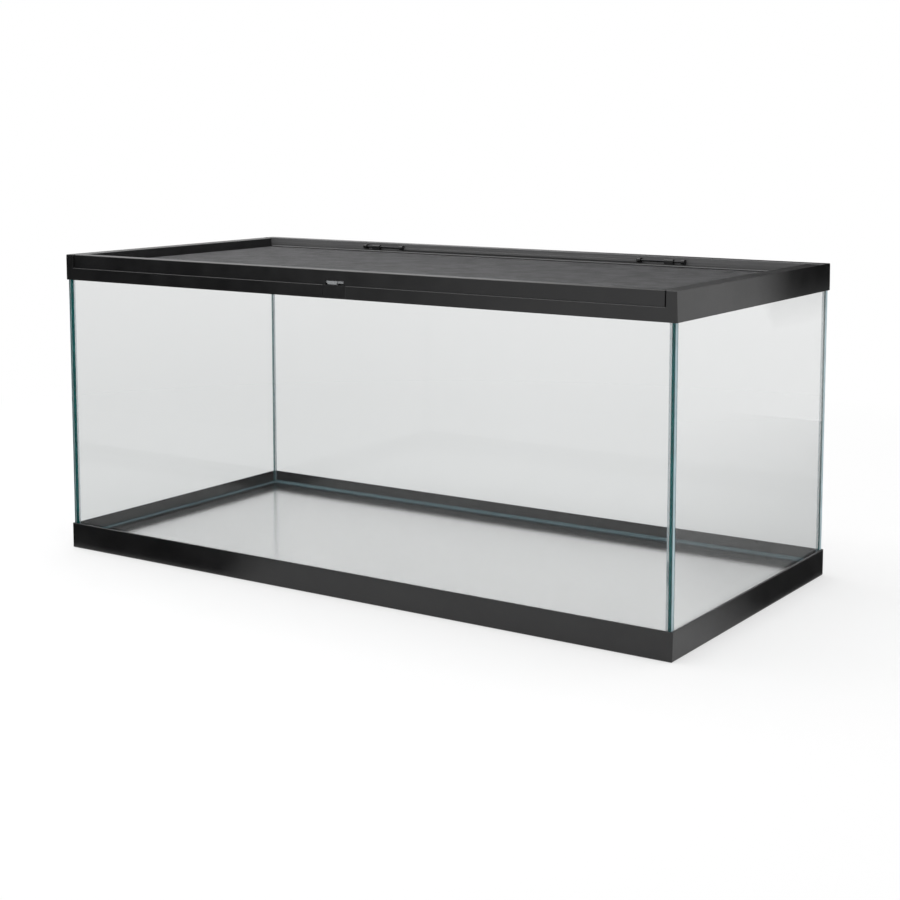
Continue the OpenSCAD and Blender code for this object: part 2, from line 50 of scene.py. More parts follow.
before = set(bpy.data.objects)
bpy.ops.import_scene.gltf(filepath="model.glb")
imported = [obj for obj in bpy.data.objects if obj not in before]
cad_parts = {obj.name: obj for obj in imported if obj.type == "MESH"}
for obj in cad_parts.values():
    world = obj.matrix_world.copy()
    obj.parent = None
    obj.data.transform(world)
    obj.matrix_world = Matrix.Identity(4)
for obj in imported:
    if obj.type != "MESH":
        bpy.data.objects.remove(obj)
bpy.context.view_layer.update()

PANES = {
    "front_glass": (0.0, 1.0, 0.0),
    "rear_glass": (0.0, 1.0, 0.0),
    "left_glass": (1.0, 0.0, 0.0),
    "right_glass": (1.0, 0.0, 0.0),
    "floor_glass": (0.0, 0.0, 1.0),
}
SEAMS = tuple(sorted(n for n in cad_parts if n.startswith("seam_")))
CLAMPS = tuple(sorted(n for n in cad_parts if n.startswith("screen_clamp_")))
PINS = ("hinge_pin_left", "hinge_pin_right")

# Glass and silicone
GLASS_IOR = 1.5
SILICONE_IOR = 1.41
# How much of the glass's mirroring is left where it is seen squarely, as through a polariser.
POLARISED = (0.4, 0.4, 0.4, 1)
# Roughness that a pane's cut edge has above that of its faces.
GROUND_ROUGHNESS = 0.5
FLOOR_PANE_ROUGHNESS = 0.12
# A normal whose part along the pane's axis is smaller than this is on a cut edge.
EDGE_PART = 0.72
# Share of the noise in the step from low to high tint, the painted shade that darkens the panes towards
# the floor.
SHADE_NOISE = 0.12
# Thickness of the ground skin on a cut edge, and how far a dark one laps over the bead.
SKIN = 0.00006
SKIN_LAP = 0.0008
# Distance inside the side panes from which a bead is full.
BEAD_INSET = 0.0008

# The trims and the screen
# How far the zone of the wall's painted sheen reaches in front of the lid frame's rear edge.
WALL_REACH = 0.004
# A normal with a smaller Y than this faces the front.
FRONTWARD = -0.5
# Stretch of the noise that streaks the wall's painted sheen, along each axis.
SHEEN_STRETCH = (9.0, 200.0, 900.0)
# Half width and rear edge of the lock's pocket in the screen.
POCKET_X = 0.0289
POCKET_Y = -0.2014

# The stage
FLOOR_HALF = 40.0
FLOOR_LOW = -0.0012
FLOOR_TOP = -0.0002
LAMP_SIZE = (4.4, 1.8)
LAMP_PLACE = (-0.9, -0.2, 2.6)
CARD_BLACK = (0.004, 0.004, 0.004, 1)
LENS = 67.89
SENSOR = 36.0
SHIFT = -0.15
CAMERA_PLACE = (1.2481, -1.8305, 0.5797)
CAMERA_TILT = 90 - 6.436
CAMERA_TURN = 33.804


# Shader tools ------------------------------------------------------------------------------------


def put(tree, kind, place=(0, 0), **values):
    """A new shader node of that kind. Values name its properties, or else its input sockets."""
    node = tree.nodes.new(kind)
    node.location = place
    for key, value in values.items():
        if hasattr(node, key):
            setattr(node, key, value)
        else:
            node.inputs[key.replace("_", " ")].default_value = value
    return node


def new_group(name, inputs, outputs):
    """An empty shader node group with those named sockets, and its two end nodes."""
    group = bpy.data.node_groups.new(name, "ShaderNodeTree")
    for label, kind, default in inputs:
        socket = group.interface.new_socket(label, in_out="INPUT", socket_type="NodeSocket" + kind)
        socket.default_value = default
    for label, kind in outputs:
        group.interface.new_socket(label, in_out="OUTPUT", socket_type="NodeSocket" + kind)
    start = put(group, "NodeGroupInput", (-900, 0))
    end = put(group, "NodeGroupOutput", (700, 0))
    return group, start, end


def moulded_grain():
    """Flow marks and fine grain of moulded plastic: a colour, a roughness and a normal.

    Broad noise mixes two colours and moves the roughness. Fine noise is the height of a bump, on
    normals that round the sharp edges a little.
    """
    name = "Moulded Grain"
    if name in bpy.data.node_groups:
        return bpy.data.node_groups[name]
    group, start, end = new_group(
        name,
        [
            ("Dark Colour", "Color", (0.012, 0.012, 0.013, 1)),
            ("Light Colour", "Color", (0.02, 0.02, 0.021, 1)),
            ("Roughness", "Float", 0.4),
            ("Roughness Spread", "Float", 0.05),
            ("Flow Scale", "Float", 24.0),
            ("Grain Scale", "Float", 1400.0),
            ("Grain Depth", "Float", 0.15),
        ],
        [("Colour", "Color"), ("Roughness", "Float"), ("Normal", "Vector")],
    )
    link = group.links.new
    place = put(group, "ShaderNodeTexCoord", (-900, -300))
    flow = put(group, "ShaderNodeTexNoise", (-600, 100), Detail=3.0, Roughness=0.6)
    link(place.outputs["Object"], flow.inputs["Vector"])
    link(start.outputs["Flow Scale"], flow.inputs["Scale"])
    blend = put(group, "ShaderNodeMapRange", (-350, 200))
    blend.inputs["From Min"].default_value = 0.35
    blend.inputs["From Max"].default_value = 0.65
    link(flow.outputs["Fac"], blend.inputs["Value"])
    colour = put(group, "ShaderNodeMix", (-100, 200), data_type="RGBA")
    link(blend.outputs["Result"], colour.inputs["Factor"])
    link(start.outputs["Dark Colour"], colour.inputs["A"])
    link(start.outputs["Light Colour"], colour.inputs["B"])
    link(colour.outputs["Result"], end.inputs["Colour"])
    offset = put(group, "ShaderNodeMath", (-350, -50), operation="SUBTRACT")
    link(blend.outputs["Result"], offset.inputs[0])
    offset.inputs[1].default_value = 0.5
    rough = put(group, "ShaderNodeMath", (-100, -50), operation="MULTIPLY_ADD")
    link(offset.outputs[0], rough.inputs[0])
    link(start.outputs["Roughness Spread"], rough.inputs[1])
    link(start.outputs["Roughness"], rough.inputs[2])
    link(rough.outputs[0], end.inputs["Roughness"])
    grain = put(group, "ShaderNodeTexNoise", (-600, -300), Detail=1.0)
    link(place.outputs["Object"], grain.inputs["Vector"])
    link(start.outputs["Grain Scale"], grain.inputs["Scale"])
    rounded = put(group, "ShaderNodeBevel", (-350, -500), samples=4, Radius=0.0006)
    bump = put(group, "ShaderNodeBump", (-100, -300), Distance=0.0002)
    link(rounded.outputs["Normal"], bump.inputs["Normal"])
    link(grain.outputs["Fac"], bump.inputs["Height"])
    link(start.outputs["Grain Depth"], bump.inputs["Strength"])
    link(bump.outputs["Normal"], end.inputs["Normal"])
    return group


def pane_tint():
    """Tint of a glass pane: its faces are darker low down and lighter high up, as painted shade, and its
    cut edges have their own.

    A point is on a cut edge where its normal turns more than 44 degrees from the pane's axis.
    """
    name = "Pane Tint"
    if name in bpy.data.node_groups:
        return bpy.data.node_groups[name]
    group, start, end = new_group(
        name,
        [
            ("Axis", "Vector", (0, 1, 0)),
            ("Low Tint", "Color", (0.9, 0.95, 0.94, 1)),
            ("High Tint", "Color", (0.94, 0.97, 0.965, 1)),
            ("Edge Tint", "Color", (0.006, 0.08, 0.08, 1)),
            ("Height", "Float", 0.4),
        ],
        [("Colour", "Color"), ("Edge", "Float")],
    )
    link = group.links.new
    place = put(group, "ShaderNodeTexCoord", (-900, -300))
    split = put(group, "ShaderNodeSeparateXYZ", (-700, -100))
    link(place.outputs["Object"], split.inputs[0])
    rise = put(group, "ShaderNodeMath", (-500, -100), operation="DIVIDE")
    link(split.outputs["Z"], rise.inputs[0])
    link(start.outputs["Height"], rise.inputs[1])
    shade_noise = put(group, "ShaderNodeTexNoise", (-700, -300), Scale=5.0, Detail=2.0)
    link(place.outputs["Object"], shade_noise.inputs["Vector"])
    # Painted shade: the tint's step from low to high, blurred by noise.
    shade = put(group, "ShaderNodeMath", (-300, -100), operation="MULTIPLY_ADD", use_clamp=True)
    link(shade_noise.outputs["Fac"], shade.inputs[0])
    shade.inputs[1].default_value = SHADE_NOISE
    link(rise.outputs[0], shade.inputs[2])
    face = put(group, "ShaderNodeMix", (-100, 0), data_type="RGBA")
    link(shade.outputs[0], face.inputs["Factor"])
    link(start.outputs["Low Tint"], face.inputs["A"])
    link(start.outputs["High Tint"], face.inputs["B"])
    facing = put(group, "ShaderNodeVectorMath", (-500, -500), operation="DOT_PRODUCT")
    link(place.outputs["Normal"], facing.inputs[0])
    link(start.outputs["Axis"], facing.inputs[1])
    size = put(group, "ShaderNodeMath", (-300, -500), operation="ABSOLUTE")
    link(facing.outputs["Value"], size.inputs[0])
    edge = put(group, "ShaderNodeMath", (-100, -500), operation="LESS_THAN")
    link(size.outputs[0], edge.inputs[0])
    edge.inputs[1].default_value = EDGE_PART
    mixed = put(group, "ShaderNodeMix", (200, 0), data_type="RGBA")
    link(edge.outputs[0], mixed.inputs["Factor"])
    link(face.outputs["Result"], mixed.inputs["A"])
    link(start.outputs["Edge Tint"], mixed.inputs["B"])
    link(mixed.outputs["Result"], end.inputs["Colour"])
    link(edge.outputs[0], end.inputs["Edge"])
    return group


def hinge_wall_sheen():
    """Mask of the wall below the rear deck, where a painted sheen goes: faces towards the front, at the
    back and high up.
    """
    name = "Hinge Wall"
    if name in bpy.data.node_groups:
        return bpy.data.node_groups[name]
    group, start, end = new_group(
        name,
        [("Back", "Float", 0.19), ("Bottom", "Float", 0.38)],
        [("Mask", "Float")],
    )
    link = group.links.new
    place = put(group, "ShaderNodeTexCoord", (-900, 0))
    spot = put(group, "ShaderNodeSeparateXYZ", (-700, 100))
    turn = put(group, "ShaderNodeSeparateXYZ", (-700, -200))
    link(place.outputs["Object"], spot.inputs[0])
    link(place.outputs["Normal"], turn.inputs[0])
    back = put(group, "ShaderNodeMath", (-450, 150), operation="GREATER_THAN")
    link(spot.outputs["Y"], back.inputs[0])
    link(start.outputs["Back"], back.inputs[1])
    high = put(group, "ShaderNodeMath", (-450, 0), operation="GREATER_THAN")
    link(spot.outputs["Z"], high.inputs[0])
    link(start.outputs["Bottom"], high.inputs[1])
    front = put(group, "ShaderNodeMath", (-450, -200), operation="LESS_THAN")
    link(turn.outputs["Y"], front.inputs[0])
    front.inputs[1].default_value = FRONTWARD
    both = put(group, "ShaderNodeMath", (-200, 100), operation="MULTIPLY")
    link(back.outputs[0], both.inputs[0])
    link(high.outputs[0], both.inputs[1])
    mask = put(group, "ShaderNodeMath", (0, 0), operation="MULTIPLY")
    link(both.outputs[0], mask.inputs[0])
    link(front.outputs[0], mask.inputs[1])
    link(mask.outputs[0], end.inputs["Mask"])
    return group


def new_material(name):
    """A material with only a Principled BSDF and an output, both returned with its tree."""
    material = bpy.data.materials.new(name)
    material.use_nodes = True
    tree = material.node_tree
    tree.nodes.clear()
    shader = put(tree, "ShaderNodeBsdfPrincipled", (0, 0))
    end = put(tree, "ShaderNodeOutputMaterial", (600, 0))
    tree.links.new(shader.outputs["BSDF"], end.inputs["Surface"])
    return material, tree, shader, end


def plastic(name, dark, light, rough, spread=0.06, flow=24.0, grain=1400.0, depth=0.15):
    """Moulded plastic between two close colours, also the base of the other solid finishes."""
    material, tree, shader, _ = new_material(name)
    look = put(tree, "ShaderNodeGroup", (-300, 0))
    look.node_tree = moulded_grain()
    look.inputs["Dark Colour"].default_value = (*dark, 1)
    look.inputs["Light Colour"].default_value = (*light, 1)
    look.inputs["Roughness"].default_value = rough
    look.inputs["Roughness Spread"].default_value = spread
    look.inputs["Flow Scale"].default_value = flow
    look.inputs["Grain Scale"].default_value = grain
    look.inputs["Grain Depth"].default_value = depth
    tree.links.new(look.outputs["Colour"], shader.inputs["Base Color"])
    tree.links.new(look.outputs["Roughness"], shader.inputs["Roughness"])
    tree.links.new(look.outputs["Normal"], shader.inputs["Normal"])
    shader.inputs["Specular IOR Level"].default_value = 0.5
    return material


def let_light_through(tree, shader, end, tint):
    """Shadow rays pass straight through a clear material, so that lamps light what is behind it."""
    path = put(tree, "ShaderNodeLightPath", (0, 300))
    clear = put(tree, "ShaderNodeBsdfTransparent", (0, -400))
    clear.inputs["Color"].default_value = (*tint, 1)
    mix = put(tree, "ShaderNodeMixShader", (350, 0))
    tree.links.new(path.outputs["Is Shadow Ray"], mix.inputs["Fac"])
    tree.links.new(shader.outputs["BSDF"], mix.inputs[1])
    tree.links.new(clear.outputs["BSDF"], mix.inputs[2])
    tree.links.new(mix.outputs["Shader"], end.inputs["Surface"])


def bead_body():
    """How much of a bead shows: more of its body inside the side panes, and little of its film.

    The film is what lies between a side pane and the front or rear one, so it is further out on X.
    """
    name = "Bead Body"
    if name in bpy.data.node_groups:
        return bpy.data.node_groups[name]
    group, start, end = new_group(
        name,
        [("Half Inside", "Float", 0.44), ("Body", "Float", 0.3), ("Film", "Float", 0.02)],
        [("Alpha", "Float")],
    )
    link = group.links.new
    place = put(group, "ShaderNodeTexCoord", (-900, -300))
    split = put(group, "ShaderNodeSeparateXYZ", (-700, -300))
    link(place.outputs["Object"], split.inputs[0])
    size = put(group, "ShaderNodeMath", (-500, -300), operation="ABSOLUTE")
    link(split.outputs["X"], size.inputs[0])
    inside = put(group, "ShaderNodeMath", (-300, -300), operation="LESS_THAN")
    link(size.outputs[0], inside.inputs[0])
    link(start.outputs["Half Inside"], inside.inputs[1])
    shown = put(group, "ShaderNodeMix", (0, 0), data_type="FLOAT")
    link(inside.outputs[0], shown.inputs["Factor"])
    link(start.outputs["Film"], shown.inputs["A"])
    link(start.outputs["Body"], shown.inputs["B"])
    link(shown.outputs["Result"], end.inputs["Alpha"])
    return group


def glass(name, axis, low, high, edge, rough=0.0):
    """Clear float glass that lets shadow rays through, with tinted, ground cut edges."""
    material, tree, shader, end = new_material(name)
    look = put(tree, "ShaderNodeGroup", (-300, 0))
    look.node_tree = pane_tint()
    look.inputs["Axis"].default_value = axis
    look.inputs["Low Tint"].default_value = (*low, 1)
    look.inputs["High Tint"].default_value = (*high, 1)
    look.inputs["Edge Tint"].default_value = (*edge, 1)
    tree.links.new(look.outputs["Colour"], shader.inputs["Base Color"])
    ground = put(tree, "ShaderNodeMath", (-150, -200), operation="MULTIPLY_ADD")
    tree.links.new(look.outputs["Edge"], ground.inputs[0])
    ground.inputs[1].default_value = GROUND_ROUGHNESS
    ground.inputs[2].default_value = rough
    tree.links.new(ground.outputs[0], shader.inputs["Roughness"])
    shader.inputs["IOR"].default_value = GLASS_IOR
    shader.inputs["Specular Tint"].default_value = POLARISED
    shader.inputs["Transmission Weight"].default_value = 1.0
    let_light_through(tree, shader, end, high)
    return material


def dress(nodes, material):
    """Puts a material in the first slot of those CAD nodes."""
    for node in nodes:
        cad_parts[node].data.materials[0] = material


# Mesh tools --------------------------------------------------------------------------------------


def box_rows(low, high):
    """Boxes as one mesh: one from each low corner to its high corner.

    Corner k of a box takes low or high on each axis by the bits of k, worked out for all boxes as
    one array. The six faces repeat one list of corner numbers, plus eight for each box before.
    """
    bits = np.array([[k & 1, k >> 1 & 1, k >> 2 & 1] for k in range(8)], dtype=float)
    verts = low[:, None, :] + (high - low)[:, None, :] * bits[None, :, :]
    ring = np.array(
        [[0, 4, 6, 2], [1, 3, 7, 5], [0, 1, 5, 4], [2, 6, 7, 3], [0, 2, 3, 1], [4, 5, 7, 6]]
    )
    faces = ring[None, :, :] + 8 * np.arange(len(low))[:, None, None]
    return verts.reshape(-1, 3), faces.reshape(-1, 4)


def tones(tone, share):
    """A colour times a share."""
    return tuple(share * c for c in tone)


def upright(points, low, high):
    """Pairs of corners, low and high, over those points of the floor."""
    return [[(x, y, low), (x, y, high)] for x, y in points]


def mesh_object(name, verts, faces, material):
    """A mesh object at the origin from arrays of corners and of four-cornered faces."""
    mesh = bpy.data.meshes.new(name)
    mesh.from_pydata(verts.tolist(), [], faces.tolist())
    mesh.materials.append(material)
    mesh.validate()
    mesh.update()
    thing = bpy.data.objects.new(name, mesh)
    bpy.context.scene.collection.objects.link(thing)
    return thing


# Settings ----------------------------------------------------------------------------------------


class TERRARIUM_PG_tank(PropertyGroup):
    """Colours of the tank."""

    trim_dark: FloatVectorProperty(
        name="Trim dark",
        description="Darker tone of the black trim",
        subtype="COLOR",
        default=(0.006, 0.006, 0.0065),
    )
    trim_light: FloatVectorProperty(
        name="Trim light",
        description="Lighter tone of the black trim",
        subtype="COLOR",
        default=(0.010, 0.010, 0.0105),
    )
    trim_roughness: FloatProperty(
        name="Trim roughness",
        description="Roughness of the black trim",
        min=0.05,
        max=1.0,
        default=0.38,
    )
    # Painted sheen: a light tone on the wall below the deck that stands in for reflected light.
    hinge_wall_sheen: FloatVectorProperty(
        name="Hinge wall sheen",
        description="Painted sheen below the deck",
        subtype="COLOR",
        default=(0.15, 0.15, 0.152),
    )
    # The panes' tint darkens towards the floor as painted shade.
    glass_low: FloatVectorProperty(
        name="Glass low",
        description="Tint of a pane near the floor",
        subtype="COLOR",
        default=(0.80, 0.81, 0.81),
    )
    glass_high: FloatVectorProperty(
        name="Glass high",
        description="Tint of a pane near the rim",
        subtype="COLOR",
        default=(0.885, 0.89, 0.89),
    )
    glass_floor: FloatVectorProperty(
        name="Glass floor",
        description="Tint of the floor pane",
        subtype="COLOR",
        default=(0.95, 0.95, 0.95),
    )
    glass_edge: FloatVectorProperty(
        name="Glass edge",
        description="Tint of a side pane's cut edges",
        subtype="COLOR",
        default=(0.004, 0.10, 0.10),
    )
    glass_end: FloatVectorProperty(
        name="Glass end",
        description="Tint of a front pane's cut ends",
        subtype="COLOR",
        default=(0.55, 0.80, 0.82),
    )
    ground_edge: FloatVectorProperty(
        name="Ground edge",
        description="Dark skin of a side pane's edge",
        subtype="COLOR",
        default=(0.0, 0.15, 0.145),
    )
    # Painted reflection: a pale skin that stands in for the white light a front or rear pane's polished
    # end reflects and lets through.
    pale_end_reflection: FloatVectorProperty(
        name="Pale end reflection",
        description="Pale skin of a front pane's end",
        subtype="COLOR",
        default=(0.50, 0.64, 0.69),
    )
    bead: FloatVectorProperty(
        name="Bead",
        description="Colour of the silicone beads",
        subtype="COLOR",
        default=(0.30, 0.50, 0.57),
    )


class TERRARIUM_PG_lid(PropertyGroup):
    """Sizes and colours of the lid."""

    wire_pitch: FloatProperty(
        name="Wire pitch",
        description="Distance from one screen wire to the next",
        subtype="DISTANCE",
        unit="LENGTH",
        precision=5,
        default=0.0015,
    )
    wire_width: FloatProperty(
        name="Wire width",
        description="Thickness of one screen wire",
        subtype="DISTANCE",
        unit="LENGTH",
        precision=5,
        default=0.00028,
    )
    wire_colour: FloatVectorProperty(
        name="Wire colour",
        description="Colour of the screen's wires",
        subtype="COLOR",
        default=(0.215, 0.215, 0.22),
    )
    lock_colour: FloatVectorProperty(
        name="Lock colour",
        description="Colour of the slide lock",
        subtype="COLOR",
        default=(0.36, 0.37, 0.38),
    )


class TERRARIUM_PG_stage(PropertyGroup):
    """Levels of the stage's light, and the floor's colour."""

    world_level: FloatProperty(
        name="World level",
        description="Light from all round",
        min=0.0,
        default=0.7,
    )
    lamp_power: FloatProperty(
        name="Lamp power",
        description="Power of the soft lamp overhead",
        subtype="POWER",
        default=62.0,
    )
    floor_colour: FloatVectorProperty(
        name="Floor",
        description="Colour of the floor",
        subtype="COLOR",
        default=(0.88, 0.88, 0.88),
    )


# Operators ---------------------------------------------------------------------------------------


class TERRARIUM_OT_trims(Operator):
    """Gives both trims, the lid frame, its clamps and the keeper their black moulded finish"""

    bl_idname = "terrarium.trims"
    bl_label = "Black trims"

    def execute(self, context):
        """Finishes the black plastic."""
        tank = context.scene.terrarium_tank
        dark, light = tuple(tank.trim_dark), tuple(tank.trim_light)
        rough = tank.trim_roughness
        dress(("base_trim",), plastic("Base Plastic", dark, light, rough))
        rim = plastic("Rim Plastic", dark, light, rough)
        # The rim's wall below the deck gets a painted sheen.
        self.paint_hinge_wall_sheen(rim, tuple(tank.hinge_wall_sheen))
        dress(("top_trim",), rim)
        dress(("lid_frame",), plastic("Lid Plastic", dark, light, rough + 0.03, flow=30.0))
        dress(("latch_keeper",), plastic("Keeper Plastic", dark, light, rough, flow=60.0))
        dress(CLAMPS, plastic("Clamp Plastic", light, tones(light, 1.5), rough=0.6, flow=80.0))
        return {"FINISHED"}

    def paint_hinge_wall_sheen(self, material, tone):
        """The wall below the deck gets a streaky grey: a painted reflection of the light over the tank.
        """
        tree = material.node_tree
        shader = tree.nodes["Principled BSDF"]
        plain = shader.inputs["Base Color"].links[0].from_socket
        wall = put(tree, "ShaderNodeGroup", (-500, 400))
        wall.node_tree = hinge_wall_sheen()
        wall.inputs["Back"].default_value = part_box("lid_frame")[1].y - WALL_REACH
        wall.inputs["Bottom"].default_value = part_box("lid_screen")[0].z
        place = put(tree, "ShaderNodeTexCoord", (-1100, 600))
        stretch = put(tree, "ShaderNodeMapping", (-900, 600))
        stretch.inputs["Scale"].default_value = SHEEN_STRETCH
        streak = put(tree, "ShaderNodeTexNoise", (-700, 600), Scale=1.0, Detail=3.0)
        tree.links.new(place.outputs["Object"], stretch.inputs["Vector"])
        tree.links.new(stretch.outputs["Vector"], streak.inputs["Vector"])
        # Streaks of painted reflection, from half to one and a half times the sheen's tone.
        sheen_streaks = put(tree, "ShaderNodeMix", (-500, 600), data_type="RGBA")
        sheen_streaks.inputs["A"].default_value = (*tones(tone, 0.5), 1)
        sheen_streaks.inputs["B"].default_value = (*tones(tone, 1.5), 1)
        tree.links.new(streak.outputs["Fac"], sheen_streaks.inputs["Factor"])
        mix = put(tree, "ShaderNodeMix", (-200, 400), data_type="RGBA")
        tree.links.new(wall.outputs["Mask"], mix.inputs["Factor"])
        tree.links.new(plain, mix.inputs["A"])
        tree.links.new(sheen_streaks.outputs["Result"], mix.inputs["B"])
        tree.links.new(mix.outputs["Result"], shader.inputs["Base Color"])


class TERRARIUM_OT_panes(Operator):
    """Gives the five panes their glass"""

    bl_idname = "terrarium.panes"
    bl_label = "Glass panes"

    def execute(self, context):
        """Finishes the glass, with one material for each direction that a pane faces."""
        tank = context.scene.terrarium_tank
        low, high = tuple(tank.glass_low), tuple(tank.glass_high)
        made = {}
        for node, axis in PANES.items():
            if axis not in made:
                edge = tuple(tank.glass_end if axis[1] else tank.glass_edge)
                below = tuple(tank.glass_floor) if axis[2] else low
                rough = FLOOR_PANE_ROUGHNESS if axis[2] else 0.0
                name = "Glass " + "XYZ"[axis.index(1.0)]
                made[axis] = glass(name, axis, below, high, edge, rough)
            dress((node,), made[axis])
        return {"FINISHED"}


class TERRARIUM_OT_edges(Operator):
    """Lays the ground skin on the upright cut edges of the panes, pale where it paints a reflection"""

    bl_idname = "terrarium.edges"
    bl_label = "Ground edges"

    def execute(self, context):
        """Dark skins on the side panes' edges, and pale skins on the front and rear panes' ends, whose
        pale tone is painted reflection of white light.

        A skin is a box as high as its edge, from one to two skin thicknesses off it. A dark one also
        laps over the bead beside its edge.
        """
        tank = context.scene.terrarium_tank
        dark_low, dark_high, pale_low, pale_high = [], [], [], []
        for node, axis in PANES.items():
            low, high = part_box(node)
            if axis[0]:
                left = low.x - SKIN_LAP if low.x > 0 else low.x
                right = high.x if low.x > 0 else high.x + SKIN_LAP
                dark_low += [(left, low.y - 2 * SKIN, low.z), (left, high.y + SKIN, low.z)]
                dark_high += [(right, low.y - SKIN, high.z), (right, high.y + 2 * SKIN, high.z)]
            elif axis[1]:
                pale_low += [(low.x - 2 * SKIN, low.y, low.z), (high.x + SKIN, low.y, low.z)]
                pale_high += [(low.x - SKIN, high.y, high.z), (high.x + 2 * SKIN, high.y, high.z)]
        for name, lows, highs, tone in (
            ("side_pane_edges", dark_low, dark_high, tuple(tank.ground_edge)),
            # Pale skins: painted reflection of white light in the front and rear panes' ends.
            ("front_pane_end_reflections", pale_low, pale_high, tuple(tank.pale_end_reflection)),
        ):
            verts, faces = box_rows(np.array(lows), np.array(highs))
            dark = tones(tone, 0.8)
            finish = plastic("Ground " + name, dark, tone, rough=0.5, flow=60.0, grain=900.0)
            finish.node_tree.nodes["Principled BSDF"].inputs["Specular IOR Level"].default_value = 0.2
            edges = mesh_object(name, verts, faces, finish)
            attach(edges, "tank")
        return {"FINISHED"}


class TERRARIUM_OT_seams(Operator):
    """Gives the corner and floor beads their clear silicone"""

    bl_idname = "terrarium.seams"
    bl_label = "Silicone seams"

    def execute(self, context):
        """Finishes the silicone."""
        bead = tuple(context.scene.terrarium_tank.bead)
        dark = tones(bead, 0.93)
        material = plastic("Clear Silicone", dark, bead, rough=0.14, flow=90.0, grain=500.0, depth=0.05)
        tree = material.node_tree
        shader = tree.nodes["Principled BSDF"]
        shader.inputs["IOR"].default_value = SILICONE_IOR
        body = put(tree, "ShaderNodeGroup", (-300, -300))
        body.node_tree = bead_body()
        body.inputs["Half Inside"].default_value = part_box("right_glass")[0].x - BEAD_INSET
        tree.links.new(body.outputs["Alpha"], shader.inputs["Alpha"])
        dress(SEAMS, material)
        return {"FINISHED"}


class TERRARIUM_OT_screen(Operator):
    """Lays the lid's fine wire screen in place of its flat sheet"""

    bl_idname = "terrarium.screen"
    bl_label = "Wire screen"

    def execute(self, context):
        """Two layers of straight wires, split round the lock's pocket.

        The wires that go from front to rear start behind the pocket where they would meet it. Those
        that go from left to right have two parts there, one on each side of it.
        """
        lid = context.scene.terrarium_lid
        low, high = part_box("lid_screen")
        pitch, wire = lid.wire_pitch, lid.wire_width
        if wire >= pitch or 2 * wire > high.z - low.z:
            raise RuntimeError("the wires are too thick for the screen")
        mid = (low.z + high.z) / 2
        filled = np.full_like
        across = np.arange(low.x + pitch / 2, high.x - wire, pitch)
        first = np.where(np.abs(across) < POCKET_X, POCKET_Y, low.y)
        up_low = np.stack([across, first, filled(across, mid)], axis=1)
        up_high = np.stack([across + wire, filled(across, high.y), filled(across, mid + wire)], axis=1)
        along = np.arange(low.y + pitch / 2, high.y - wire, pitch)
        whole = along[along > POCKET_Y]
        short = along[along <= POCKET_Y]
        starts = np.concatenate([filled(whole, low.x), filled(short, low.x), filled(short, POCKET_X)])
        ends = np.concatenate([filled(whole, high.x), filled(short, -POCKET_X), filled(short, high.x)])
        rows = np.concatenate([whole, short, short])
        side_low = np.stack([starts, rows, filled(rows, mid - wire)], axis=1)
        side_high = np.stack([ends, rows + wire, filled(rows, mid)], axis=1)
        verts, faces = box_rows(
            np.concatenate([up_low, side_low]),
            np.concatenate([up_high, side_high]),
        )
        tone = tuple(lid.wire_colour)
        dark = tones(tone, 0.7)
        material = plastic("Screen Wire", dark, tone, rough=0.5, flow=40.0, grain=3000.0, depth=0.05)
        material.node_tree.nodes["Principled BSDF"].inputs["Metallic"].default_value = 0.4
        screen = mesh_object("wire_screen", verts, faces, material)
        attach(screen, "lid")
        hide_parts("lid_screen")
        return {"FINISHED"}


class TERRARIUM_OT_lock(Operator):
    """Gives the slide lock its light grey finish"""

    bl_idname = "terrarium.lock"
    bl_label = "Slide lock"

    def execute(self, context):
        """Finishes the slide lock."""
        tone = tuple(context.scene.terrarium_lid.lock_colour)
        finish = plastic("Lock Plastic", tones(tone, 0.85), tone, rough=0.42, flow=120.0)
        dress(("lock_slider",), finish)
        return {"FINISHED"}


class TERRARIUM_OT_pins(Operator):
    """Gives the hinge pins their blackened steel"""

    bl_idname = "terrarium.pins"
    bl_label = "Hinge pins"

    def execute(self, context):
        """Finishes the pins."""
        dark, light = (0.03, 0.03, 0.032), (0.05, 0.05, 0.052)
        steel = plastic("Pin Steel", dark, light, rough=0.35, flow=400.0, grain=4000.0, depth=0.08)
        steel.node_tree.nodes["Principled BSDF"].inputs["Metallic"].default_value = 1.0
        dress(PINS, steel)
        return {"FINISHED"}


